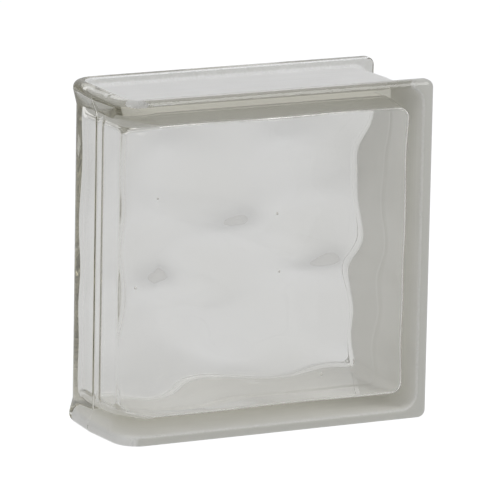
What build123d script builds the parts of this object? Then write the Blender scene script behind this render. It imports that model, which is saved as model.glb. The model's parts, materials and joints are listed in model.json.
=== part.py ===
from build123d import *
import math
import os

# Hollow end block of clear pressed glass, moulded as two equal halves that are fused at the middle.
# Millimetres. X runs along the face, Y from front to back and Z up.
# The origin is the middle of the block's bottom, on the seam, where it stands on its flanges.

# Overall size
block_width = 188.0
block_height = 190.0
block_depth = 80.0

# Flanges round both faces, and the mortar channel that they leave round the block
flange_thickness = 8.0
flange_corner_radius = 4.6
outer_edge_radius = 4.0
flange_lip_radius = 1.2
channel_depth = 4.6
channel_root_radius = 2.5
channel_corner_radius = 9.0
channel_draft = 1.2

# Finished left end, which closes the channels. Its field is sunk between a rim at the top and at the bottom
end_rim_thickness = 8.0
end_draft = 4.0
end_corner_radius = 16.0
end_rim_inner_radius = 9.0
end_field_inset = 3.2
end_field_draft = 1.5
end_rim_height = 5.0
end_ramp_height = 8.0
seam_edge_radius = 1.2

# Air space inside. Its walls are measured at the seam: the side wall and the bed walls from the
# channel's floor, the end wall from the rim
face_plate_thickness = 8.0
side_wall_thickness = 6.3
bed_wall_thickness = 7.4
end_wall_thickness = 11.5
cavity_draft = 2.5
cavity_corner_radius = 9.0
cavity_root_radius = 5.5
end_root_radius = 12.0

# Trains of waves pressed into the inner side of each face plate: the height of each, the length from
# crest to crest, the way it runs, in degrees up from level, and its start, in degrees of a full wave
upright_swell = (1.4, 57.0, 90, 267)
long_swell = (0.57, 66.3, 20, 269)
level_swell = (0.9, 59.3, 2, 128.5)
slanting_ripple = (0.26, 39.1, 50, 221)
short_ripple = (0.36, 41.8, 26, 123.5)
wave_field_margin = 1.0
wave_field_sink = 0.1
wave_fade_width = 9.0
wave_grid_step = 9.0

# Worked out from the sizes above
half_width = block_width / 2
half_depth = block_depth / 2
channel_half_width = half_depth - flange_thickness
cavity_depth = half_depth - face_plate_thickness
rim_inner_x = -half_width + end_rim_thickness
wave_trains = (upright_swell, long_swell, level_swell, slanting_ripple, short_ripple)
highest_wave = sum(height for height, length, heading, start in wave_trains)
full_turn = 360
overshoot = 10.0
closeness = 1e-3


def end_outline(inset, draft):
    """Plan of the front half, its finished end drafted from the seam and rounded at the face."""
    end_run = half_depth * math.tan(math.radians(draft))
    corner = (-half_width + inset + end_run, -half_depth)
    plan = make_face(
        Polyline(
            (-half_width + inset, 0),
            corner,
            (half_width, -half_depth),
            (half_width, 0),
            close=True,
        )
    )
    rounded = plan.vertices().sort_by_distance(corner)[0]
    return fillet(rounded, end_corner_radius)


def channel_web():
    """What the channels leave standing between the flanges, largest at the seam."""
    left = -half_width - overshoot - channel_corner_radius
    right = half_width - channel_depth
    outline = Rectangle(right - left, block_height - 2 * channel_depth)
    outline = fillet(outline.vertices(), channel_corner_radius)
    placed = Plane.XZ * Pos((left + right) / 2, block_height / 2) * outline
    return extrude(placed, half_depth, taper=channel_draft)


def channel_zone():
    """The space that mortar fills: a slot in plan, closed on the left by the rim of the finished end."""
    corner = (rim_inner_x, -channel_half_width)
    slot = make_face(
        Polyline(
            (rim_inner_x, 0),
            corner,
            (half_width + overshoot, -channel_half_width),
            (half_width + overshoot, 0),
            close=True,
        )
    )
    rounded = slot.vertices().sort_by_distance(corner)[0]
    return extrude(fillet(rounded, end_rim_inner_radius), block_height)


def end_field_cut():
    """Shallow sunk field of the finished end, which slopes out to a rim at the top and at the bottom."""
    rim = end_outline(0, end_draft)
    field = end_outline(end_field_inset, end_field_draft)
    lower_start = end_rim_height
    lower_end = end_rim_height + end_ramp_height
    upper_start = block_height - lower_end
    upper_end = block_height - lower_start
    kept = extrude(Pos(0, 0, lower_end) * field, upper_start - lower_end)
    kept += loft([Pos(0, 0, lower_start) * rim, Pos(0, 0, lower_end) * field], ruled=True)
    kept += loft([Pos(0, 0, upper_start) * field, Pos(0, 0, upper_end) * rim], ruled=True)
    around = Box(
        end_corner_radius * 2,
        half_depth * 2,
        upper_end - lower_start,
        align=(Align.MIN, Align.CENTER, Align.MIN),
    )
    return Pos(-half_width - overshoot, 0, lower_start) * around - kept


def ends_at(edge, axis, value):
    """Whether both ends of an edge lie at one value of a coordinate."""
    ends = (edge @ 0, edge @ 1)
    return all(math.isclose(getattr(point, axis), value, abs_tol=closeness) for point in ends)


def is_level_edge(edge):
    """Whether an edge lies in the plane of the block's top or bottom."""
    return ends_at(edge, "Z", 0) or ends_at(edge, "Z", block_height)


def is_flange_corner(edge):
    """Whether an edge is one of the flange's two square corners, on the side away from the finished end."""
    across = ends_at(edge, "X", half_width) and is_level_edge(edge)
    return across and edge.length > flange_thickness / 2


def is_outer_edge(edge):
    """Whether an edge borders the face or runs round the finished end at the top or bottom."""
    middle = edge @ 0.5
    on_face = ends_at(edge, "Y", -half_depth)
    return on_face or (is_level_edge(edge) and middle.X < rim_inner_x and not ends_at(edge, "Y", 0))


def on_outline(point):
    """Whether a point lies on the flange's outer outline: its top, its bottom or its right side."""
    sides = ((point.Z, 0), (point.Z, block_height), (point.X, half_width))
    return any(math.isclose(value, side, abs_tol=closeness) for value, side in sides)


def is_channel_edge(edge):
    """Whether an edge runs along the channel, on its flange or on the rim of the finished end."""
    ends = (edge @ 0, edge @ 1)
    nearest = rim_inner_x - closeness
    farthest = rim_inner_x + end_rim_inner_radius + closeness
    beside_rim = all(nearest <= point.X <= farthest for point in ends)
    before_flange = all(point.Y >= -channel_half_width - closeness for point in ends)
    on_flange = ends_at(edge, "Y", -channel_half_width)
    return (on_flange or (beside_rim and before_flange)) and not ends_at(edge, "Y", 0)


def is_lip_edge(edge):
    """Whether an edge is the channel's outer lip."""
    return is_channel_edge(edge) and all(on_outline(point) for point in (edge @ 0, edge @ 1))


def is_root_edge(edge):
    """Whether an edge is the channel's root, where its floor meets the flange or the rim."""
    return is_channel_edge(edge) and not any(on_outline(point) for point in (edge @ 0, edge @ 1))


def is_end_seam(edge):
    """Whether an edge lies on the seam where it crosses the sunk field of the finished end."""
    lowest = end_rim_height - closeness
    highest = block_height - end_rim_height + closeness
    beside_field = all(lowest <= point.Z <= highest for point in (edge @ 0, edge @ 1))
    return beside_field and ends_at(edge, "Y", 0) and (edge @ 0.5).X < rim_inner_x


def outer_half():
    """Outer form of the front half: the drafted outline with the channels cut round its web."""
    body = extrude(end_outline(0, end_draft), block_height) - (channel_zone() - channel_web())
    body = fillet(body.edges().filter_by(is_flange_corner), flange_corner_radius)
    body = fillet(body.edges().filter_by(is_root_edge), channel_root_radius)
    body = fillet(body.edges().filter_by(is_lip_edge), flange_lip_radius)
    body = fillet(body.edges().filter_by(is_outer_edge), outer_edge_radius)
    body = body - end_field_cut()
    return fillet(body.edges().filter_by(is_end_seam), seam_edge_radius)


def wave_offset(across, up):
    """How far the pressed waves stand into the air space at a point of the plate."""
    offset = 0
    for height, length, heading, start in wave_trains:
        direction = math.radians(heading)
        along = across * math.cos(direction) + up * math.sin(direction)
        offset += height * math.sin(math.radians(full_turn * along / length + start))
    return offset


def wave_fade(distance):
    """Share of the wave's height that is left at a distance from the border of the waved field."""
    share = min(max(distance / wave_fade_width, 0), 1)
    return share * share * (3 - 2 * share)


def waved_air(left, right, bottom, top):
    """The air over the waved field of a plate, to the seam and one grid step past the field's borders."""
    columns = math.ceil((right - left) / wave_grid_step)
    rows = math.ceil((top - bottom) / wave_grid_step)
    grid = []
    for row in range(-1, rows + 2):
        up = bottom + (top - bottom) * row / rows
        line = []
        for column in range(-1, columns + 2):
            across = left + (right - left) * column / columns
            fade = wave_fade(min(across - left, right - across)) * wave_fade(min(up - bottom, top - up))
            depth = cavity_depth + wave_field_sink - fade * wave_offset(across, up)
            line.append(Vector(across, -depth, up))
        grid.append(line)
    surface = Face.make_surface_from_array_of_points(grid, tol=0.02, min_deg=3, max_deg=3)
    return extrude(surface, amount=cavity_depth, dir=(0, 1, 0))


def wave_floor(space):
    """Air space with the slab at its flat floor exchanged for one that carries the waves."""
    floor = space.faces().sort_by(Axis.Y)[0].bounding_box()
    left = floor.min.X + wave_field_margin
    right = floor.max.X - wave_field_margin
    bottom = floor.min.Z + wave_field_margin
    top = floor.max.Z - wave_field_margin
    slab = Box(right - left, 3 * highest_wave, top - bottom)
    slab = Pos((left + right) / 2, -cavity_depth, (bottom + top) / 2) * slab
    return space - slab + (slab & waved_air(left, right, bottom, top))


def is_far_corner(edge, far_floor):
    """Whether an edge of the drafted space is one of its two corners away from the finished end."""
    beyond = min((edge @ 0).X, (edge @ 1).X) > far_floor - closeness
    return beyond and edge.bounding_box().size.Y > cavity_depth / 2


def cavity():
    """Air space of the front half, drafted from the seam, with its waved floor blended into its walls."""
    run = cavity_depth * math.tan(math.radians(cavity_draft))
    left = -half_width + end_wall_thickness
    right = half_width - channel_depth - side_wall_thickness
    bottom = channel_depth + bed_wall_thickness
    top = block_height - bottom
    end_corner = (left + run, -cavity_depth)
    plan = make_face(Polyline((left, 0), end_corner, (right - run, -cavity_depth), (right, 0), close=True))
    plan = fillet(plan.vertices().sort_by_distance(end_corner)[0], end_root_radius)
    side = make_face(
        Polyline(
            (0, 0, bottom),
            (0, -cavity_depth, bottom + run),
            (0, -cavity_depth, top - run),
            (0, 0, top),
            close=True,
        )
    )
    across = extrude(Pos(left - overshoot, 0, 0) * side, right - left + 2 * overshoot, dir=(1, 0, 0))
    space = extrude(plan, block_height) & across
    far_corners = [edge for edge in space.edges() if is_far_corner(edge, right - run)]
    space = fillet(far_corners, cavity_corner_radius)
    floor = space.faces().sort_by(Axis.Y)[0]
    space = fillet(floor.edges().sort_by(Axis.X)[-1], cavity_root_radius)
    return wave_floor(space)


def pressed_half():
    """One pressed half, as it lies at the front of the block with its open side on the seam."""
    return outer_half() - cavity()


front_half = pressed_half()
# The same pressing turned over about the block's level middle line closes the back
back_half = Pos(0, 0, block_height) * Rot(180, 0, 0) * front_half

os.makedirs("parts", exist_ok=True)
for name, piece in (("front_half", front_half), ("back_half", back_half)):
    piece.label = name
    export_step(piece, f"parts/{name}.step")
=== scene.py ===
# %% [markdown]
# This lesson dresses a hollow glass block, the kind that is laid in a wall to let daylight through.
# The real one is pressed as two open trays of molten glass that are fused rim to rim. Three of its
# edges are grooved for mortar and painted white, and the fourth is closed and left clear, to end a
# wall. We start from the measured solids, which stay where they are, and give them one continuous
# body of glass, real refraction and a coat of paint.

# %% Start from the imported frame
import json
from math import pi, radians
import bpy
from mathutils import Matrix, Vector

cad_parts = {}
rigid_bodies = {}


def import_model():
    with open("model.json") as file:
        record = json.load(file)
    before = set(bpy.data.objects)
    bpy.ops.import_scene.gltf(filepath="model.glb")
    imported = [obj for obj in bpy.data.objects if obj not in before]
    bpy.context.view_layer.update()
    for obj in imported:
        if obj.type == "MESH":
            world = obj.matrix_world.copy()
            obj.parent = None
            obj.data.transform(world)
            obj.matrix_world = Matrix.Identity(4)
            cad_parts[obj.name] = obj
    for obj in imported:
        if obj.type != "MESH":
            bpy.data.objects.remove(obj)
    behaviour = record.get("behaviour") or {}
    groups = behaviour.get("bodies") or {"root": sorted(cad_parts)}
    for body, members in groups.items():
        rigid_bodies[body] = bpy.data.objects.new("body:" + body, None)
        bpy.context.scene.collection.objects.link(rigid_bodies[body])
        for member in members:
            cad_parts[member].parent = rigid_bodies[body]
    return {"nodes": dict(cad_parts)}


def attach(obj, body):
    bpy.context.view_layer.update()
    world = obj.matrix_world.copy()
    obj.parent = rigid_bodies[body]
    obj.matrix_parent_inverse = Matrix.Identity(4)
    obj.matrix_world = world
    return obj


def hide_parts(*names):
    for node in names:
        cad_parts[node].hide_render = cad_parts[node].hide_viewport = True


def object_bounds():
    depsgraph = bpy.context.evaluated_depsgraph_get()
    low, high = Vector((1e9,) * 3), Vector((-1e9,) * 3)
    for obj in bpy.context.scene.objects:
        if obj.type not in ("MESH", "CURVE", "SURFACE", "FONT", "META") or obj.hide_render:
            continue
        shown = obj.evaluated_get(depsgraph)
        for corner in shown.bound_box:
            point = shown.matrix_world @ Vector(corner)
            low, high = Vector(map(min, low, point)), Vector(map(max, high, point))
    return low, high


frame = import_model()

# %% [markdown]
# Everything is measured from the box of the solids, in metres. Where a size is one that a maker of
# blocks would quote, such as a wall or a flange, it is written in millimetres.

# %% Modules, and the box of the solids
from types import SimpleNamespace

import bmesh
import bpy
from mathutils import Matrix, Vector

MM = 0.001
WHITE = (1.0, 1.0, 1.0, 1.0)
cad_low, cad_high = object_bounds()
block_width = cad_high.x - cad_low.x
block_depth = cad_high.y - cad_low.y
block_height = cad_high.z - cad_low.z
print(f"block: {block_width / MM:.1f} x {block_depth / MM:.1f} x {block_height / MM:.1f} mm")

# %% [markdown]
# A flange runs round each face, and the channel for the mortar lies between the two. The rim of the
# finished end closes the channel on the left. Paint, skin and air space all need these few sizes,
# so they come first. The rounded seam takes a little off the box there, so the finished end is
# measured from the opposite side.

# %% The flanges, the channel and the finished end
FLANGE = 8.0 * MM
END_RIM = 8.0 * MM
CHANNEL_DEPTH = 4.6 * MM
channel_half_width = block_depth / 2 - FLANGE
end_rim_x = -cad_high.x
channel_left = end_rim_x + END_RIM
print(f"channel: {2 * channel_half_width / MM:.1f} mm wide, {CHANNEL_DEPTH / MM:.1f} mm deep")

# %% [markdown]
# The camera stands where the photographer stood: far off with a long lens, a little above the block
# and to its left. It could be set by eye, but refracted edges show the smallest error, so it was
# fitted to the outlines of the block. Four numbers describe it, a turn, a tilt, a roll and a
# distance, which is easier to read than a position and three angles, and the picture is centred on
# one point of the block.

# %% The camera
CAMERA_TURN = radians(26.663)
CAMERA_TILT = radians(12.687)
CAMERA_ROLL = radians(1.104)
CAMERA_DISTANCE = 3.109
CAMERA_TARGET = Vector((0.00282, 0.0, 0.09418))
CAMERA_LENS_MM = 409.3
SENSOR_MM = 36.0
CAMERA_REACH = 100.0

camera_data = bpy.data.cameras.new("camera")
camera_data.lens = CAMERA_LENS_MM
camera_data.sensor_width = SENSOR_MM
camera_data.clip_end = CAMERA_REACH
camera = bpy.data.objects.new("camera", camera_data)
bpy.context.scene.collection.objects.link(camera)
aim = (
    Matrix.Rotation(-CAMERA_TURN, 4, "Z")
    @ Matrix.Rotation(pi / 2 - CAMERA_TILT, 4, "X")
    @ Matrix.Rotation(CAMERA_ROLL, 4, "Z")
)
away = Matrix.Translation((0, 0, CAMERA_DISTANCE))
camera.matrix_world = Matrix.Translation(CAMERA_TARGET) @ aim @ away
bpy.context.scene.camera = camera
print("camera at", [round(value, 3) for value in camera.matrix_world.translation])

# %% [markdown]
# Node trees are easier to read when arithmetic takes one line. These helpers make a Math node and a
# Map Range node. The first takes numbers and sockets alike. They serve the shape trees and the
# materials.

# %% Helpers for arithmetic in node trees
def maths(tree, operation, *values):
    """One Math node with these inputs, each a number or an output socket; gives its output."""
    node = tree.nodes.new("ShaderNodeMath")
    node.operation = operation
    for socket, value in zip(node.inputs, values):
        if isinstance(value, (int, float)):
            socket.default_value = value
        else:
            tree.links.new(value, socket)
    return node.outputs[0]


def mask(tree, value, start, end):
    """A value turned into a share that runs from 0 at its start to 1 at its end."""
    node = tree.nodes.new("ShaderNodeMapRange")
    node.inputs["From Min"].default_value = start
    node.inputs["From Max"].default_value = end
    tree.links.new(value, node.inputs["Value"])
    return node.outputs["Result"]


# %% [markdown]
# The white surroundings are a floor and a sky. A white sweep of paper would do, but it would also
# throw more light on the block than the studio lamps do. So both have several brightnesses: one
# that lights the block, plain white for what the camera sees directly, and the pale grey of a lit
# room for what it sees mirrored in the glass or through it. A Light Path node tells these rays
# apart.

# %% Brightness by the kind of ray
def brightness(tree, lighting, in_glass, direct):
    """A strength that differs for light on the block, views in or through glass, and direct views."""
    path = tree.nodes.new("ShaderNodeLightPath")
    bent = maths(tree, "MAXIMUM", path.outputs["Is Glossy Ray"], path.outputs["Is Transmission Ray"])
    change = maths(tree, "SUBTRACT", in_glass, lighting)
    strength = maths(tree, "MULTIPLY_ADD", bent, change, lighting)
    return maths(tree, "MULTIPLY_ADD", path.outputs["Is Camera Ray"], direct - lighting, strength)


# %% [markdown]
# Through the glass the sky is a pale wall low down and a bright ceiling above. The waves bend some
# views up over the horizon, and a sky of one brightness would stand out in them as white spots. In
# a world the Generated coordinate is the direction of the view, so its Z is how far up the view
# goes.

# %% The sky
SKY_LIGHT = 0.42
SKY_IN_GLASS_LOW = 0.52
SKY_IN_GLASS_HIGH = 0.95
SKY_IN_GLASS_RISE = 0.35
SKY_DIRECT = 1.0

world = bpy.data.worlds.new("white_room")
world.use_nodes = True
bpy.context.scene.world = world
sky_tree = world.node_tree
sky = sky_tree.nodes["Background"]
sky.inputs["Color"].default_value = WHITE
direction = sky_tree.nodes.new("ShaderNodeSeparateXYZ")
sky_tree.links.new(sky_tree.nodes.new("ShaderNodeTexCoord").outputs["Generated"], direction.inputs[0])
rise = sky_tree.nodes.new("ShaderNodeMapRange")
rise.inputs["From Max"].default_value = SKY_IN_GLASS_RISE
rise.inputs["To Min"].default_value = SKY_IN_GLASS_LOW
rise.inputs["To Max"].default_value = SKY_IN_GLASS_HIGH
sky_tree.links.new(direction.outputs["Z"], rise.inputs["Value"])
sky_strength = brightness(sky_tree, SKY_LIGHT, rise.outputs["Result"], SKY_DIRECT)
sky_tree.links.new(sky_strength, sky.inputs["Strength"])
print("sky: lights the block with", SKY_LIGHT)

# %% [markdown]
# The floor has to be white where the camera sees it, keep the block's soft shadow, and look evenly
# lit through the waves, which show floor far from the lamps too. A white paint would be bright near
# the lamps only. A middle grey paint with a glow of its own is more even, and it still takes the
# shadow.

# %% The floor
FLOOR_SIZE = 40.0
FLOOR_PAINT = (0.5, 0.5, 0.5, 1.0)
FLOOR_ROUGHNESS = 0.9
FLOOR_GLOW = (0.97, 0.98, 1.0, 1.0)
FLOOR_LIFT = 0.78
FLOOR_LIFT_IN_GLASS = 0.37
FLOOR_LIFT_ON_BLOCK = 0.25

floor_material = bpy.data.materials.new("white_floor")
floor_material.use_nodes = True
floor_tree = floor_material.node_tree
floor_shader = floor_tree.nodes["Principled BSDF"]
floor_shader.inputs["Base Color"].default_value = FLOOR_PAINT
floor_shader.inputs["Roughness"].default_value = FLOOR_ROUGHNESS
floor_shader.inputs["Specular IOR Level"].default_value = 0.0
floor_shader.inputs["Emission Color"].default_value = FLOOR_GLOW
floor_lift = brightness(floor_tree, FLOOR_LIFT_ON_BLOCK, FLOOR_LIFT_IN_GLASS, FLOOR_LIFT)
floor_tree.links.new(floor_lift, floor_shader.inputs["Emission Strength"])

floor_mesh = bpy.data.meshes.new("floor")
reach = FLOOR_SIZE / 2
corners = [(-reach, -reach, 0), (reach, -reach, 0), (reach, reach, 0), (-reach, reach, 0)]
floor_mesh.from_pydata(corners, [], [(0, 1, 2, 3)])
floor_mesh.materials.append(floor_material)
floor = bpy.data.objects.new("floor", floor_mesh)
bpy.context.scene.collection.objects.link(floor)
print("floor:", FLOOR_SIZE, "m square")

# %% [markdown]
# Two soft boxes light the block. The bright line along its upper front edge comes from the stronger
# one, which hangs to the right of the camera and well above it. An area lamp is the plainest soft
# box.

# %% The soft boxes
SOFT_BOX_SIZE = 1.2
SOFT_BOXES = {
    "key_box": {"toward": (0.438, -0.517, 0.734), "distance": 2.2, "watts": 15.2},
    "side_box": {"toward": (-0.9, -0.35, 0.45), "distance": 2.6, "watts": 8.8},
}


def hang_soft_box(name, toward, distance, watts):
    """A square area lamp that looks at the middle of the block from a direction."""
    lamp = bpy.data.lights.new(name, "AREA")
    lamp.shape = "SQUARE"
    lamp.size = SOFT_BOX_SIZE
    lamp.energy = watts
    box = bpy.data.objects.new(name, lamp)
    outward = Vector(toward).normalized()
    box.location = Vector((0, 0, block_height / 2)) + outward * distance
    box.rotation_mode = "QUATERNION"
    box.rotation_quaternion = outward.to_track_quat("Z", "Y")
    bpy.context.scene.collection.objects.link(box)
    return box


for name, values in SOFT_BOXES.items():
    box = hang_soft_box(name, **values)
    print(name, "at", [round(value, 2) for value in box.location])

# %% [markdown]
# The glass is faintly grey-green, and deeper where it is thicker. A tint on the surface would
# colour thin and thick parts alike, so the colour is an absorption inside the body. Light from the
# lamps and from painted surfaces goes straight through, because bent paths from small lamps take a
# very long time to find.

# %% The glass
GLASS_IOR = 1.52
GLASS_TINT = (0.73, 0.715, 0.63, 1.0)
GLASS_DENSITY = 19.0

glass = bpy.data.materials.new("pressed_glass")
glass.use_nodes = True
glass_tree = glass.node_tree
glass_shader = glass_tree.nodes["Principled BSDF"]
glass_shader.inputs["Base Color"].default_value = WHITE
glass_shader.inputs["Roughness"].default_value = 0.0
glass_shader.inputs["IOR"].default_value = GLASS_IOR
glass_shader.inputs["Transmission Weight"].default_value = 1.0
absorption = glass_tree.nodes.new("ShaderNodeVolumeAbsorption")
absorption.inputs["Color"].default_value = GLASS_TINT
absorption.inputs["Density"].default_value = GLASS_DENSITY
glass_output = glass_tree.nodes["Material Output"]
glass_tree.links.new(absorption.outputs[0], glass_output.inputs["Volume"])
print("glass: index", GLASS_IOR, "density", GLASS_DENSITY)

# %% Light from the lamps goes straight through
path = glass_tree.nodes.new("ShaderNodeLightPath")
lamp_rays = maths(glass_tree, "MAXIMUM", path.outputs["Is Shadow Ray"], path.outputs["Is Diffuse Ray"])
clear = glass_tree.nodes.new("ShaderNodeBsdfTransparent")
either = glass_tree.nodes.new("ShaderNodeMixShader")
glass_tree.links.new(lamp_rays, either.inputs["Fac"])
glass_tree.links.new(glass_shader.outputs[0], either.inputs[1])
glass_tree.links.new(clear.outputs[0], either.inputs[2])
glass_tree.links.new(either.outputs[0], glass_output.inputs["Surface"])
print("glass:", len(glass_tree.nodes), "nodes")

# %% [markdown]
# Hardly any pressed glass is even. Its skin has a soft unevenness from the mould, which shows in
# reflections. It is too shallow for the mesh, so it is a bump from noise. Noise in this lesson
# reads the block's own coordinates, so it stays in place when the block moves, and one helper
# stretches it where something runs one way.

# %% Noise and bumps in the block's own coordinates
def own_place(tree):
    """Place on the piece, in its own coordinates."""
    return tree.nodes.new("ShaderNodeTexCoord").outputs["Object"]


def noise(tree, place, sizes, detail=2.0):
    """Noise between 0 and 1, with patches of these sizes across, from front to back and up."""
    stretch = tree.nodes.new("ShaderNodeMapping")
    stretch.inputs["Scale"].default_value = [1 / size for size in sizes]
    tree.links.new(place, stretch.inputs["Vector"])
    texture = tree.nodes.new("ShaderNodeTexNoise")
    texture.inputs["Scale"].default_value = 1.0
    texture.inputs["Detail"].default_value = detail
    tree.links.new(stretch.outputs[0], texture.inputs["Vector"])
    return texture.outputs[0]


def bump(tree, height, distance):
    """A normal that is bent by a height between 0 and 1, which stands for a distance."""
    node = tree.nodes.new("ShaderNodeBump")
    node.inputs["Strength"].default_value = 1.0
    node.inputs["Distance"].default_value = distance
    tree.links.new(height, node.inputs["Height"])
    return node.outputs["Normal"]


# %% The unevenness of the pressed skin
SKIN_PATCH = 14.0 * MM
SKIN_UNEVENNESS = 0.008 * MM

unevenness = noise(glass_tree, own_place(glass_tree), (SKIN_PATCH, SKIN_PATCH, SKIN_PATCH), detail=1.0)
glass_tree.links.new(bump(glass_tree, unevenness, SKIN_UNEVENNESS), glass_shader.inputs["Normal"])
print(f"skin: uneven by {SKIN_UNEVENNESS / MM} mm over {SKIN_PATCH / MM} mm")

# %% [markdown]
# The channels are painted, so that mortar holds on the glass and the joint looks white from inside.
# Paint is not even either: the brush leaves marks along the channel, it is thinner here and there,
# and it has dried into a crumbly line at the roots of the flanges. On the flanks of the flanges the
# paint is made greyer, which is painted shade, laid where the lamps would light the flanks too
# brightly. Each of these is a mask, from noise or from the distance to the seam, and the masks mix a
# few whites and the grey of the painted shade, and lift the surface.

# %% Where the paint is thick
PAINT_PATCH = 26.0 * MM
BRUSH_MARK_WIDTH = 1.3 * MM
BRUSH_MARK_LENGTH = 90.0 * MM
THIN_TO_THICK = (0.3, 0.7)

coating_material = bpy.data.materials.new("edge_coating")
coating_material.use_nodes = True
paint_tree = coating_material.node_tree
paint_place = own_place(paint_tree)
patches = noise(paint_tree, paint_place, (PAINT_PATCH, PAINT_PATCH, PAINT_PATCH))
marks = noise(paint_tree, paint_place, (BRUSH_MARK_LENGTH, BRUSH_MARK_WIDTH, BRUSH_MARK_LENGTH))
thick_patches = mask(paint_tree, patches, *THIN_TO_THICK)
thick_marks = mask(paint_tree, marks, *THIN_TO_THICK)
thickness = maths(paint_tree, "MULTIPLY", maths(paint_tree, "ADD", thick_patches, thick_marks), 0.5)
print(f"brush marks: {BRUSH_MARK_LENGTH / MM:.0f} x {BRUSH_MARK_WIDTH / MM:.1f} mm")

# %% Where it is crumbly, and where it lies on a flank
CRUMB_SIZE = 1.3 * MM
CRUMB_LINE = channel_half_width - 0.8 * MM
CRUMB_LINE_WIDTH = 1.3 * MM
SMOOTH_TO_CRUMBLY = (0.42, 0.62)
FLANK_START = channel_half_width - 0.5 * MM
FLANK_END = channel_half_width - 0.05 * MM

paint_parts = paint_tree.nodes.new("ShaderNodeSeparateXYZ")
paint_tree.links.new(paint_place, paint_parts.inputs[0])
from_seam = maths(paint_tree, "ABSOLUTE", paint_parts.outputs["Y"])
# This mask also lays the painted shade on the flanks, and it stops the crumbs there.
on_flank = mask(paint_tree, from_seam, FLANK_START, FLANK_END)
from_line = maths(paint_tree, "ABSOLUTE", maths(paint_tree, "SUBTRACT", from_seam, CRUMB_LINE))
near_line = mask(paint_tree, from_line, CRUMB_LINE_WIDTH, 0.0)
crumbs = noise(paint_tree, paint_place, (CRUMB_SIZE, CRUMB_SIZE, CRUMB_SIZE))
crumbly = maths(paint_tree, "MULTIPLY", near_line, mask(paint_tree, crumbs, *SMOOTH_TO_CRUMBLY))
crumbly = maths(paint_tree, "MULTIPLY", crumbly, maths(paint_tree, "SUBTRACT", 1.0, on_flank))
print(f"crumbly line: {CRUMB_LINE / MM:.1f} mm from the seam")

# %% The colours of the paint, and the painted shade on the flanks
THICK_PAINT = (0.96, 0.96, 0.955, 1.0)
THIN_PAINT = (0.87, 0.87, 0.86, 1.0)
# The grey below is painted shade on the flanks of the flanges, where the lamps light them brightly.
FLANK_PAINTED_SHADE = (0.68, 0.68, 0.65, 1.0)
PAINT_ROUGHNESS = 0.6


def mixed(tree, share, first, second):
    """A colour between two colours, each a value or an output socket."""
    node = tree.nodes.new("ShaderNodeMix")
    node.data_type = "RGBA"
    tree.links.new(share, node.inputs[0])
    for socket, value in ((node.inputs[6], first), (node.inputs[7], second)):
        if isinstance(value, tuple):
            socket.default_value = value
        else:
            tree.links.new(value, socket)
    return node.outputs[2]


paint = paint_tree.nodes["Principled BSDF"]
paint.inputs["Roughness"].default_value = PAINT_ROUGHNESS
paint_colour = mixed(paint_tree, thickness, THIN_PAINT, THICK_PAINT)
# Painted shade: the paint is greyed on the flanks.
paint_colour = mixed(paint_tree, on_flank, paint_colour, FLANK_PAINTED_SHADE)
paint_colour = mixed(paint_tree, crumbly, paint_colour, WHITE)
paint_tree.links.new(paint_colour, paint.inputs["Base Color"])
print("paint: from", THIN_PAINT[:3], "to", THICK_PAINT[:3])

# %% [markdown]
# The marks and crumbs stand up a little, which a bump shows well enough. A coat this thin also lets
# some light through, so a small share of the shader is translucent.

# %% The relief of the paint, and the light that it lets through
PAINT_RELIEF = 0.4 * MM
BRUSH_MARK_HEIGHT = 0.35
PAINT_LETS_THROUGH = 0.08

paint_height = maths(paint_tree, "MULTIPLY_ADD", marks, BRUSH_MARK_HEIGHT, crumbly)
paint_tree.links.new(bump(paint_tree, paint_height, PAINT_RELIEF), paint.inputs["Normal"])
glowing = paint_tree.nodes.new("ShaderNodeBsdfTranslucent")
glowing.inputs["Color"].default_value = THICK_PAINT
film = paint_tree.nodes.new("ShaderNodeMixShader")
film.inputs["Fac"].default_value = PAINT_LETS_THROUGH
paint_tree.links.new(paint.outputs[0], film.inputs[1])
paint_tree.links.new(glowing.outputs[0], film.inputs[2])
paint_tree.links.new(film.outputs[0], paint_tree.nodes["Material Output"].inputs["Surface"])
print("paint:", len(paint_tree.nodes), "nodes")

# %% [markdown]
# The inner side of the block is the skin of its air space: two waved floors, rounded roots, walls
# with a draft and upright corners. It could be cut from the solids, but their facets are too coarse
# to refract through. It follows a rule, so Geometry Nodes make it. First the waves. The tool that
# presses the floor is cut with a few long, shallow trains of waves that cross each other. One train
# is a node group, and five of them, each with its own height, length, heading and start, make the
# floor.

# %% One train of pressed waves, as a group
TRAIN_SIZES = ("Height", "Length", "Heading", "Start")


def add_input(tree, name, kind="NodeSocketFloat"):
    """Give a node tree an input with this name."""
    tree.interface.new_socket(name, in_out="INPUT", socket_type=kind)


def wave_train_group():
    """How far one train of waves stands into the air space, at a place across and up the plate."""
    tree = bpy.data.node_groups.new("wave_train", "GeometryNodeTree")
    for name in ("Across", "Up") + TRAIN_SIZES:
        add_input(tree, name)
    tree.interface.new_socket("Offset", in_out="OUTPUT", socket_type="NodeSocketFloat")
    source = tree.nodes.new("NodeGroupInput").outputs
    level_part = maths(tree, "MULTIPLY", source["Across"], maths(tree, "COSINE", source["Heading"]))
    along = maths(tree, "MULTIPLY_ADD", source["Up"], maths(tree, "SINE", source["Heading"]), level_part)
    waves_passed = maths(tree, "DIVIDE", along, source["Length"])
    turn = maths(tree, "MULTIPLY_ADD", waves_passed, 2 * pi, source["Start"])
    offset = maths(tree, "MULTIPLY", source["Height"], maths(tree, "SINE", turn))
    tree.links.new(offset, tree.nodes.new("NodeGroupOutput").inputs["Offset"])
    return tree


wave_train = wave_train_group()
print("one train of waves:", len(wave_train.nodes), "nodes")

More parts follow.
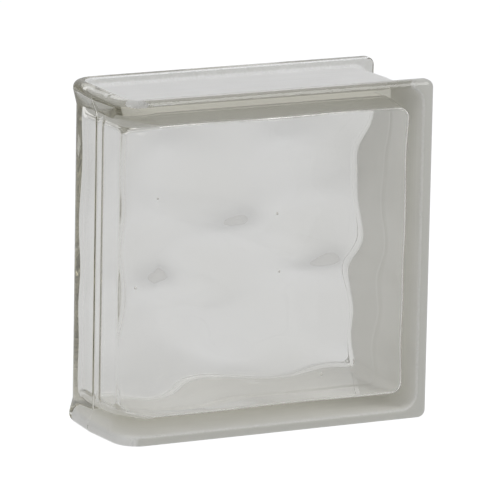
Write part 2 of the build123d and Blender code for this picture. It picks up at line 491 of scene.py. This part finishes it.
# %% The trains of waves
WAVE_TRAINS = {
    "Long Swell": (0.94 * MM, 84.1 * MM, radians(20.8), radians(33.5)),
    "Steep Swell": (0.90 * MM, 49.1 * MM, radians(67.6), radians(331.4)),
    "Slanting Swell": (0.74 * MM, 61.7 * MM, radians(46.4), radians(250.3)),
    "Steep Ripple": (0.48 * MM, 34.1 * MM, radians(68.9), radians(24.3)),
    "Upright Ripple": (0.34 * MM, 38.8 * MM, radians(94.1), radians(239.5)),
}
highest_wave = sum(values[0] for values in WAVE_TRAINS.values())
print(f"waves: {len(WAVE_TRAINS)} trains, at most {highest_wave / MM:.1f} mm high")

# %% [markdown]
# The sizes of the air space are those of the press: plates, walls, drafts and radii. At the
# finished end the wall is thicker and its root much rounder than on the other three sides. Where
# the trays were fused, a small bead of glass was pushed inwards all round.

# %% The sizes of the air space
PLATE = 8.0 * MM
END_WALL = 11.5 * MM
SIDE_WALL = 6.3 * MM
BED_WALL = 7.4 * MM

AIR_SPACE_SIZES = {
    "Left": end_rim_x + END_WALL,
    "Right": cad_high.x - (CHANNEL_DEPTH + SIDE_WALL),
    "Bottom": cad_low.z + (CHANNEL_DEPTH + BED_WALL),
    "Top": cad_high.z - (CHANNEL_DEPTH + BED_WALL),
    "Corner Radius": 9.0 * MM,
    "End Corner Reach": 14.0 * MM,
    "Depth": block_depth / 2 - PLATE,
    "Front Draft": radians(5.0),
    "Front Root Radius": 2.2 * MM,
    "Back Draft": radians(1.0),
    "Back Root Radius": 1.2 * MM,
    "End Draft": radians(2.5),
    "End Root Radius": 12.0 * MM,
    "Bead Height": 0.8 * MM,
    "Bead Half Width": 1.6 * MM,
}
for train, values in WAVE_TRAINS.items():
    for size, value in zip(TRAIN_SIZES, values):
        AIR_SPACE_SIZES[f"{train} {size}"] = value
print("air space:", len(AIR_SPACE_SIZES), "sizes")

# %% [markdown]
# Each half of the skin is one grid. The middle of the grid is the floor. Its border is folded up in
# rings, first round the root and then along the wall, and in the grid's corners the rings turn in
# arcs. So the tree first lays the grid out flat, with a core and a border.

# %% The flat grid
def core(tree, low, low_reach, high, high_reach):
    """Middle and half size of the flat core in one direction, between the reaches of the corners."""
    first = maths(tree, "ADD", low, low_reach)
    last = maths(tree, "SUBTRACT", high, high_reach)
    middle = maths(tree, "MULTIPLY", maths(tree, "ADD", first, last), 0.5)
    return middle, maths(tree, "MULTIPLY", maths(tree, "SUBTRACT", last, first), 0.5)


def flat_grid(tree, source):
    """The grid's mesh, with the middle and half size of its core and the width of its border each way."""
    radius = source["Corner Radius"]
    middle_x, half_x = core(tree, source["Left"], source["End Corner Reach"], source["Right"], radius)
    middle_z, half_z = core(tree, source["Bottom"], radius, source["Top"], radius)
    both_borders = maths(tree, "MULTIPLY", source["Border Cells"], 2.0)
    border_share = maths(tree, "DIVIDE", both_borders, source["Floor Cells"])
    border_x = maths(tree, "MULTIPLY", half_x, border_share)
    border_z = maths(tree, "MULTIPLY", half_z, border_share)
    node = tree.nodes.new("GeometryNodeMeshGrid")
    size_x = maths(tree, "MULTIPLY", maths(tree, "ADD", half_x, border_x), 2.0)
    size_z = maths(tree, "MULTIPLY", maths(tree, "ADD", half_z, border_z), 2.0)
    tree.links.new(size_x, node.inputs["Size X"])
    tree.links.new(size_z, node.inputs["Size Y"])
    count = maths(tree, "ADD", maths(tree, "ADD", source["Floor Cells"], both_borders), 1.0)
    tree.links.new(count, node.inputs["Vertices X"])
    tree.links.new(count, node.inputs["Vertices Y"])
    return SimpleNamespace(
        mesh=node.outputs["Mesh"],
        middle_x=middle_x,
        half_x=half_x,
        border_x=border_x,
        middle_z=middle_z,
        half_z=half_z,
        border_z=border_z,
    )


# %% [markdown]
# Then every place of the grid learns its ring, from nought at the core to one at the rim, and the
# way outwards from the core. Beside the core that way is straight. In a corner it turns by as much
# as the place is round the corner. Its share towards the finished end tells how much of that end's
# own sizes apply.

# %% The rings of the grid
NEARLY_NOUGHT = 1e-6


def beyond(tree, value, half, border):
    """How far a place is out in the border, from nought at the core to one at the rim."""
    past = maths(tree, "SUBTRACT", maths(tree, "ABSOLUTE", value), half)
    return maths(tree, "MAXIMUM", maths(tree, "DIVIDE", past, border), 0.0)


def ring_places(tree, grid):
    """For each place of the grid: where it is, its ring, the way outwards and the share towards the end."""
    place = tree.nodes.new("ShaderNodeSeparateXYZ")
    tree.links.new(tree.nodes.new("GeometryNodeInputPosition").outputs[0], place.inputs[0])
    x, z = place.outputs["X"], place.outputs["Y"]
    out_x = beyond(tree, x, grid.half_x, grid.border_x)
    out_z = beyond(tree, z, grid.half_z, grid.border_z)
    ring = maths(tree, "MAXIMUM", out_x, out_z)
    nearer = maths(tree, "MINIMUM", out_x, out_z)
    ratio = maths(tree, "DIVIDE", nearer, maths(tree, "MAXIMUM", ring, NEARLY_NOUGHT))
    part_turn = maths(tree, "MULTIPLY", ratio, pi / 4)
    upright = maths(tree, "GREATER_THAN", out_z, maths(tree, "ADD", out_x, NEARLY_NOUGHT))
    rest_of_turn = maths(tree, "SUBTRACT", pi / 2, maths(tree, "MULTIPLY", part_turn, 2.0))
    turn = maths(tree, "MULTIPLY_ADD", upright, rest_of_turn, part_turn)
    aim_x = maths(tree, "MULTIPLY", maths(tree, "COSINE", turn), maths(tree, "SIGN", x))
    aim_z = maths(tree, "MULTIPLY", maths(tree, "SINE", turn), maths(tree, "SIGN", z))
    leftward = maths(tree, "MAXIMUM", maths(tree, "MULTIPLY", aim_x, -1.0), 0.0)
    toward_end = maths(tree, "POWER", leftward, 2.0)
    return SimpleNamespace(x=x, z=z, ring=ring, aim_x=aim_x, aim_z=aim_z, toward_end=toward_end)


# %% [markdown]
# A tray's section is the same all round, apart from the finished end: a flat floor, an arc at the
# root and a wall with a draft. The rings are shared out over these three. Those on the wall lie
# closer together near the seam, where the bead needs them. The bead is a bell curve in the wall,
# which fades away from the seam.

# %% The section of a tray
RING_AT_ROOT = 0.15
RING_AT_WALL = 0.55


def tray_section(tree, source, place, side):
    """How far out from the core and how deep from the seam each ring of a tray lies."""

    def toward(plain, at_end):
        """A size that changes from its plain value to another one towards the finished end."""
        return maths(tree, "MULTIPLY_ADD", place.toward_end, maths(tree, "SUBTRACT", at_end, plain), plain)

    root = toward(source[side + " Root Radius"], source["End Root Radius"])
    draft = toward(source[side + " Draft"], source["End Draft"])
    reach = toward(source["Corner Radius"], source["End Corner Reach"])
    on_floor = mask(tree, place.ring, 0, RING_AT_ROOT)
    round_root = mask(tree, place.ring, RING_AT_ROOT, RING_AT_WALL)
    up_wall = mask(tree, place.ring, RING_AT_WALL, 1)

    root_depth = maths(tree, "SUBTRACT", source["Depth"], root)
    run = maths(tree, "MULTIPLY", root_depth, maths(tree, "TANGENT", draft))
    wall_at_root = maths(tree, "SUBTRACT", reach, run)
    root_reach = maths(tree, "DIVIDE", root, maths(tree, "COSINE", draft))
    root_start = maths(tree, "SUBTRACT", wall_at_root, root_reach)
    root_turn = maths(tree, "MULTIPLY", maths(tree, "SUBTRACT", pi / 2, draft), round_root)
    in_arc = maths(tree, "MULTIPLY", root, maths(tree, "SINE", root_turn))
    outward = maths(tree, "MULTIPLY_ADD", root_start, on_floor, in_arc)
    deep = maths(tree, "MULTIPLY_ADD", root, maths(tree, "COSINE", root_turn), root_depth)

    wall_start = maths(tree, "ADD", root_start, maths(tree, "MULTIPLY", root, maths(tree, "COSINE", draft)))
    wall_depth = maths(tree, "ADD", root_depth, maths(tree, "MULTIPLY", root, maths(tree, "SINE", draft)))
    wall_run = maths(tree, "SUBTRACT", reach, wall_start)
    left_to_seam = maths(tree, "SUBTRACT", 1.0, up_wall)
    eased_wall = maths(tree, "SUBTRACT", 1.0, maths(tree, "MULTIPLY", left_to_seam, left_to_seam))
    outward = maths(tree, "MULTIPLY_ADD", eased_wall, wall_run, outward)
    deep = maths(tree, "SUBTRACT", deep, maths(tree, "MULTIPLY", eased_wall, wall_depth))

    in_beads = maths(tree, "DIVIDE", deep, source["Bead Half Width"])
    fall = maths(tree, "MULTIPLY", maths(tree, "POWER", in_beads, 2.0), -1.0)
    bead = maths(tree, "MULTIPLY", source["Bead Height"], maths(tree, "EXPONENT", fall))
    return maths(tree, "SUBTRACT", outward, bead), deep


# %% [markdown]
# The section is then set round the core, and the waves are added. They are at full height on the
# floor and fade up the wall to nothing at the seam, in step with the depth, so that the two trays
# meet point to point there.

# %% One tray
def kept_within(tree, value, half):
    """The nearest place of the core."""
    return maths(tree, "MAXIMUM", maths(tree, "MINIMUM", value, half), maths(tree, "MULTIPLY", half, -1.0))


def relief_at(tree, source, across, up):
    """How far all the trains of waves together stand into the air space."""
    relief = 0.0
    for train in WAVE_TRAINS:
        node = tree.nodes.new("GeometryNodeGroup")
        node.node_tree = wave_train
        tree.links.new(across, node.inputs["Across"])
        tree.links.new(up, node.inputs["Up"])
        for size in TRAIN_SIZES:
            tree.links.new(source[f"{train} {size}"], node.inputs[size])
        relief = maths(tree, "ADD", node.outputs["Offset"], relief)
    return relief


def tray(tree, source, grid, place, side):
    """The grid folded into the tray of one side, as it lies at the front."""
    outward, deep = tray_section(tree, source, place, side)
    from_core_x = maths(tree, "MULTIPLY_ADD", outward, place.aim_x, kept_within(tree, place.x, grid.half_x))
    from_core_z = maths(tree, "MULTIPLY_ADD", outward, place.aim_z, kept_within(tree, place.z, grid.half_z))
    new_x = maths(tree, "ADD", grid.middle_x, from_core_x)
    new_z = maths(tree, "ADD", grid.middle_z, from_core_z)
    relief = relief_at(tree, source, new_x, new_z)
    flatter = maths(tree, "SUBTRACT", 1.0, maths(tree, "DIVIDE", relief, source["Depth"]))
    new_y = maths(tree, "MULTIPLY", maths(tree, "MULTIPLY", deep, flatter), -1.0)
    folded = tree.nodes.new("ShaderNodeCombineXYZ")
    for value, socket in zip((new_x, new_y, new_z), folded.inputs):
        tree.links.new(value, socket)
    placed = tree.nodes.new("GeometryNodeSetPosition")
    tree.links.new(grid.mesh, placed.inputs["Geometry"])
    tree.links.new(folded.outputs[0], placed.inputs["Position"])
    return placed.outputs[0]


# %% [markdown]
# Both halves come from the same press, and the back one is turned over. A mirror would reverse its
# waves, so the back tray is turned by half a turn about the level line along its seam and lifted
# back into place. The seam is then merged, which closes the skin.

# %% The air space tree
SEAM_MERGE = 0.01 * MM


def air_space_tree():
    """A grid folded into the front tray and into the back tray, and the two joined at the seam."""
    tree = bpy.data.node_groups.new("air_space", "GeometryNodeTree")
    tree.interface.new_socket("Geometry", in_out="OUTPUT", socket_type="NodeSocketGeometry")
    for name in AIR_SPACE_SIZES:
        add_input(tree, name)
    add_input(tree, "Floor Cells", "NodeSocketInt")
    add_input(tree, "Border Cells", "NodeSocketInt")
    add_input(tree, "Glass", "NodeSocketMaterial")
    source = tree.nodes.new("NodeGroupInput").outputs
    grid = flat_grid(tree, source)
    place = ring_places(tree, grid)
    turned = tree.nodes.new("GeometryNodeTransform")
    turned.inputs["Rotation"].default_value = (pi, 0.0, 0.0)
    lift = tree.nodes.new("ShaderNodeCombineXYZ")
    tree.links.new(maths(tree, "ADD", source["Bottom"], source["Top"]), lift.inputs["Z"])
    tree.links.new(lift.outputs[0], turned.inputs["Translation"])
    tree.links.new(tray(tree, source, grid, place, "Back"), turned.inputs["Geometry"])
    both = tree.nodes.new("GeometryNodeJoinGeometry")
    tree.links.new(turned.outputs[0], both.inputs[0])
    tree.links.new(tray(tree, source, grid, place, "Front"), both.inputs[0])
    closed = tree.nodes.new("GeometryNodeMergeByDistance")
    closed.inputs["Distance"].default_value = SEAM_MERGE
    tree.links.new(both.outputs[0], closed.inputs[0])
    realized = tree.nodes.new("GeometryNodeRealizeInstances")
    tree.links.new(closed.outputs[0], realized.inputs[0])
    finished = tree.nodes.new("GeometryNodeSetMaterial")
    tree.links.new(realized.outputs[0], finished.inputs["Geometry"])
    tree.links.new(source["Glass"], finished.inputs["Material"])
    tree.links.new(finished.outputs[0], tree.nodes.new("NodeGroupOutput").inputs[0])
    return tree


# %% [markdown]
# A modifier makes the mesh from the tree. Its inputs are set by their identifiers before the first
# evaluation, the result is taken as a plain mesh, and the holder with its modifier goes. The cells
# are small enough for smooth refraction, and the whole body stays under 200,000 triangles.

# %% From the tree to a mesh
FLOOR_CELLS = 104
BORDER_CELLS = 36


def made_by(tree, values, name):
    """The mesh that a shape tree makes with these inputs."""
    holder = bpy.data.objects.new(name, bpy.data.meshes.new(name))
    bpy.context.scene.collection.objects.link(holder)
    modifier = holder.modifiers.new(name, "NODES")
    modifier.node_group = tree
    for item in tree.interface.items_tree:
        if item.in_out == "INPUT":
            modifier[item.identifier] = values[item.name]
    graph = bpy.context.evaluated_depsgraph_get()
    mesh = bpy.data.meshes.new_from_object(holder.evaluated_get(graph), depsgraph=graph)
    bpy.data.objects.remove(holder)
    return mesh


air_values = dict(AIR_SPACE_SIZES)
air_values["Floor Cells"] = FLOOR_CELLS
air_values["Border Cells"] = BORDER_CELLS
air_values["Glass"] = glass
air_skin = made_by(air_space_tree(), air_values, "air_space")
print("air space:", len(air_skin.polygons), "faces")

# %% [markdown]
# The outside of the block is right in the solids already, so its skin is taken from a copy of the
# front half: the faces of the air space and of the seam are left off, and the rest is mirrored in
# the seam, which welds the two halves into one body, as the flame does. The outside is the same
# upside down, so a mirror gives what turning over would, and it keeps the rims point to point.

# %% The outer skin
SEAM_REACH = 0.001 * MM


def is_inner(face):
    """Whether a face of the front half belongs to its air space or to the seam."""
    middle = face.calc_center_median()
    deepest = -AIR_SPACE_SIZES["Depth"] - highest_wave
    across = AIR_SPACE_SIZES["Left"] - SEAM_REACH < middle.x < AIR_SPACE_SIZES["Right"] + SEAM_REACH
    upward = AIR_SPACE_SIZES["Bottom"] - SEAM_REACH < middle.z < AIR_SPACE_SIZES["Top"] + SEAM_REACH
    on_seam = all(abs(vertex.co.y) < SEAM_REACH for vertex in face.verts)
    return (across and upward and middle.y > deepest) or on_seam


def outer_skin():
    """The outside of the whole block as one closed bmesh."""
    skin = bmesh.new()
    skin.from_mesh(frame["nodes"]["front_half"].data)
    bmesh.ops.remove_doubles(skin, verts=skin.verts, dist=SEAM_REACH)
    inner = [face for face in skin.faces if is_inner(face)]
    bmesh.ops.delete(skin, geom=inner, context="FACES")
    mirrored = bmesh.ops.duplicate(skin, geom=skin.verts[:] + skin.edges[:] + skin.faces[:])
    copies = [item for item in mirrored["geom"] if isinstance(item, bmesh.types.BMVert)]
    bmesh.ops.scale(skin, vec=(1, -1, 1), verts=copies)
    bmesh.ops.remove_doubles(skin, verts=skin.verts, dist=SEAM_REACH)
    bmesh.ops.recalc_face_normals(skin, faces=skin.faces)
    return skin


def open_edges(shape):
    """How many edges of a bmesh don't have two faces."""
    return sum(len(edge.link_faces) != 2 for edge in shape.edges)


skin = outer_skin()
print("outer skin:", len(skin.faces), "faces, open edges:", open_edges(skin))

# %% [markdown]
# The paint lies in the channels only, up to the lips of the flanges. It could be a second material
# on the glass, but then no glass would show its own surface under the paint. A thin film of its
# own, which sits a little in the glass and mostly outside of it, is seen through the glass from the
# inside as the real one is.

# %% The coat of paint, from the same skin
LIP = 1.1 * MM
SLOT_MARGIN = 0.1 * MM


def is_in_channel(face):
    """Whether a face of the skin lies inside the mortar channels, short of their lips."""
    middle = face.calc_center_median()
    in_slot = abs(middle.y) < channel_half_width + SLOT_MARGIN and middle.x > channel_left - SLOT_MARGIN
    to_outside = min(cad_high.z - middle.z, middle.z - cad_low.z, cad_high.x - middle.x)
    return in_slot and to_outside > LIP


coat = skin.copy()
unpainted = [face for face in coat.faces if not is_in_channel(face)]
bmesh.ops.delete(coat, geom=unpainted, context="FACES")
print("paint:", len(coat.faces), "faces")
coat_mesh = bpy.data.meshes.new("channel_coating")
coat.to_mesh(coat_mesh)
coat.free()
coating = bpy.data.objects.new("channel_coating", coat_mesh)
bpy.context.scene.collection.objects.link(coating)
coat_mesh.materials.append(coating_material)

# %% The thickness of the film
COATING_OUT = 0.2 * MM
COATING_IN = 0.05 * MM

solid = coating.modifiers.new("film", "SOLIDIFY")
solid.thickness = COATING_OUT + COATING_IN
solid.offset = (COATING_OUT - COATING_IN) / (COATING_OUT + COATING_IN)
solid.use_even_offset = True
print(f"film: {solid.thickness / MM:.2f} mm")

# %% [markdown]
# The skin of the air space faces into the air, because the glass lies on its other side. So it is
# turned inside out before it joins the outer skin.

# %% The air space joins the skin
LITRE = 0.001

air = bmesh.new()
air.from_mesh(air_skin)
bmesh.ops.recalc_face_normals(air, faces=air.faces)
print(f"air space: {open_edges(air)} open edges, {air.calc_volume(signed=True) / LITRE:.2f} litres")
bmesh.ops.reverse_faces(air, faces=air.faces)
air.to_mesh(air_skin)
air.free()
skin.from_mesh(air_skin)

# %% [markdown]
# Pressed glass keeps a few seeds, bubbles about a millimetre across that show as dark dots. Here
# they are small spheres of air within the front plate, at the places where the real block has them.
# They are turned inside out too.

# %% The seeds
SEED_PLANE = cad_low.y + 3.5 * MM
SEED_SMOOTHNESS = 3
SEEDS = (
    (-0.2 * MM, 122.6 * MM, 0.66 * MM),
    (-71.9 * MM, 136.4 * MM, 0.55 * MM),
    (-83.5 * MM, 88.1 * MM, 0.7 * MM),
    (1.7 * MM, 90.3 * MM, 0.6 * MM),
    (28.8 * MM, 30.4 * MM, 0.66 * MM),
)

for across, up, seed_radius in SEEDS:
    place = Matrix.Translation((across, SEED_PLANE, up))
    seed = bmesh.ops.create_icosphere(skin, subdivisions=SEED_SMOOTHNESS, radius=seed_radius, matrix=place)
    seed_faces = {face for vertex in seed["verts"] for face in vertex.link_faces}
    bmesh.ops.reverse_faces(skin, faces=list(seed_faces))
print("seeds:", len(SEEDS))

# %% [markdown]
# The skins become one body. Fire-polished glass has no hard facets, so it is shaded smooth, except
# where two faces meet at a real edge. Large flat faces should stay flat up to their rounded edges,
# and weighted normals see to that.

# %% The one body of glass
SHARP_ANGLE = radians(50)
FLAT_FACE_WEIGHT = 50

body_mesh = bpy.data.meshes.new("glass_body")
skin.to_mesh(body_mesh)
skin.free()
for polygon in body_mesh.polygons:
    polygon.use_smooth = True
    polygon.material_index = 0
body_mesh.materials.append(glass)
body_mesh.set_sharp_from_angle(angle=SHARP_ANGLE)
body = bpy.data.objects.new("glass_body", body_mesh)
bpy.context.scene.collection.objects.link(body)
even = body.modifiers.new("even_shading", "WEIGHTED_NORMAL")
even.keep_sharp = True
even.weight = FLAT_FACE_WEIGHT
print("glass body:", len(body_mesh.polygons), "faces")

# %% [markdown]
# A view through the block crosses many surfaces, and in the solid edges it is thrown back and
# forth. With too few bounces such paths end black, so the limits are raised.

# %% How light travels in the glass
MOST_BOUNCES = 32
MOST_MIRRORINGS = 24

cycles = bpy.context.scene.cycles
cycles.max_bounces = MOST_BOUNCES
cycles.glossy_bounces = MOST_MIRRORINGS
cycles.transmission_bounces = MOST_BOUNCES
cycles.transparent_max_bounces = MOST_BOUNCES
bpy.context.scene.view_settings.view_transform = "Standard"
print("bounces: at most", MOST_BOUNCES)

# %% [markdown]
# Last, the pieces are handed over. Both ride on the one body of the part. The glass takes the place
# of the two solid halves, and the paint comes with it.

# %% Hand the pieces over
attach(body, "root")
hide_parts("front_half", "back_half")
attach(coating, "root")
print("pieces:", body.name, "and", coating.name)
